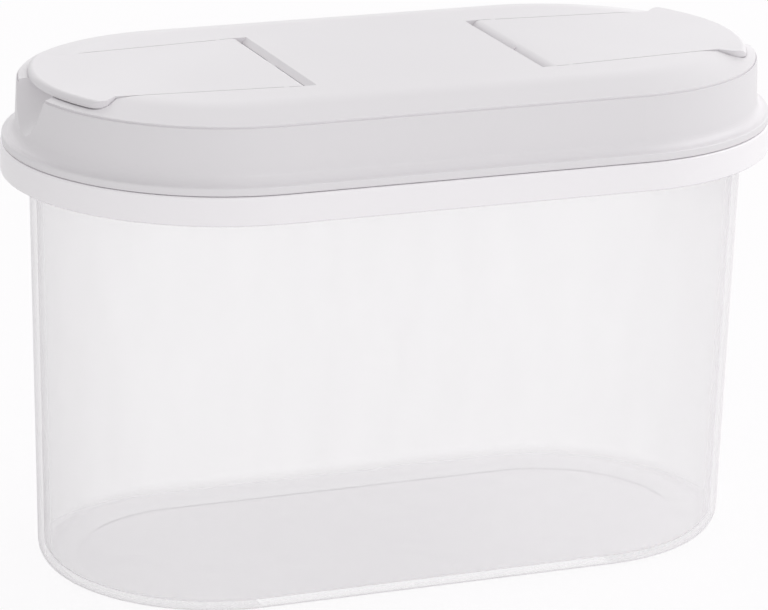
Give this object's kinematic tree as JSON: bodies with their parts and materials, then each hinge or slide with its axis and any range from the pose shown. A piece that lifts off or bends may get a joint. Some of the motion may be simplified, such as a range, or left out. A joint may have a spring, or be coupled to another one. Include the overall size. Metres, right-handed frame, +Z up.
{
  "type": "cereal container",
  "caption": "Tall dry-food keeper with round ends: a translucent tub and a push-on white lid with a flip-up pour flap over an opening at each end.",
  "frame": {"origin": "middle of the base, on the surface that the tub stands on", "axes": "+X along the length, +Y across the width, +Z up through the lid"},
  "size_m": [0.2006, 0.1058, 0.1285],
  "materials": {
    "tub_plastic": "natural translucent polypropylene, satin",
    "lid_plastic": "white moulded polypropylene, satin",
    "flap_plastic": "white moulded polypropylene, satin"
  },
  "bodies": {
    "tub": {"tub": "tub_plastic"},
    "lid": {"lid": "lid_plastic"},
    "left_flap": {"left_flap": "flap_plastic"},
    "right_flap": {"right_flap": "flap_plastic"}
  },
  "joints": [
    {"name": "lid_lift", "type": "slide", "parent": "tub", "child": "lid", "axis": [0, 0, 1], "range_m": [0, 0.04]},
    {"name": "left_flap_hinge", "type": "hinge", "parent": "lid", "child": "left_flap", "pos_m": [-0.0342, 0, 0.1262], "axis": [0, 1, 0], "range_deg": [0, 100]},
    {"name": "right_flap_hinge", "type": "hinge", "parent": "lid", "child": "right_flap", "pos_m": [0.0342, 0, 0.1262], "axis": [0, -1, 0], "range_deg": [0, 100]}
  ]
}
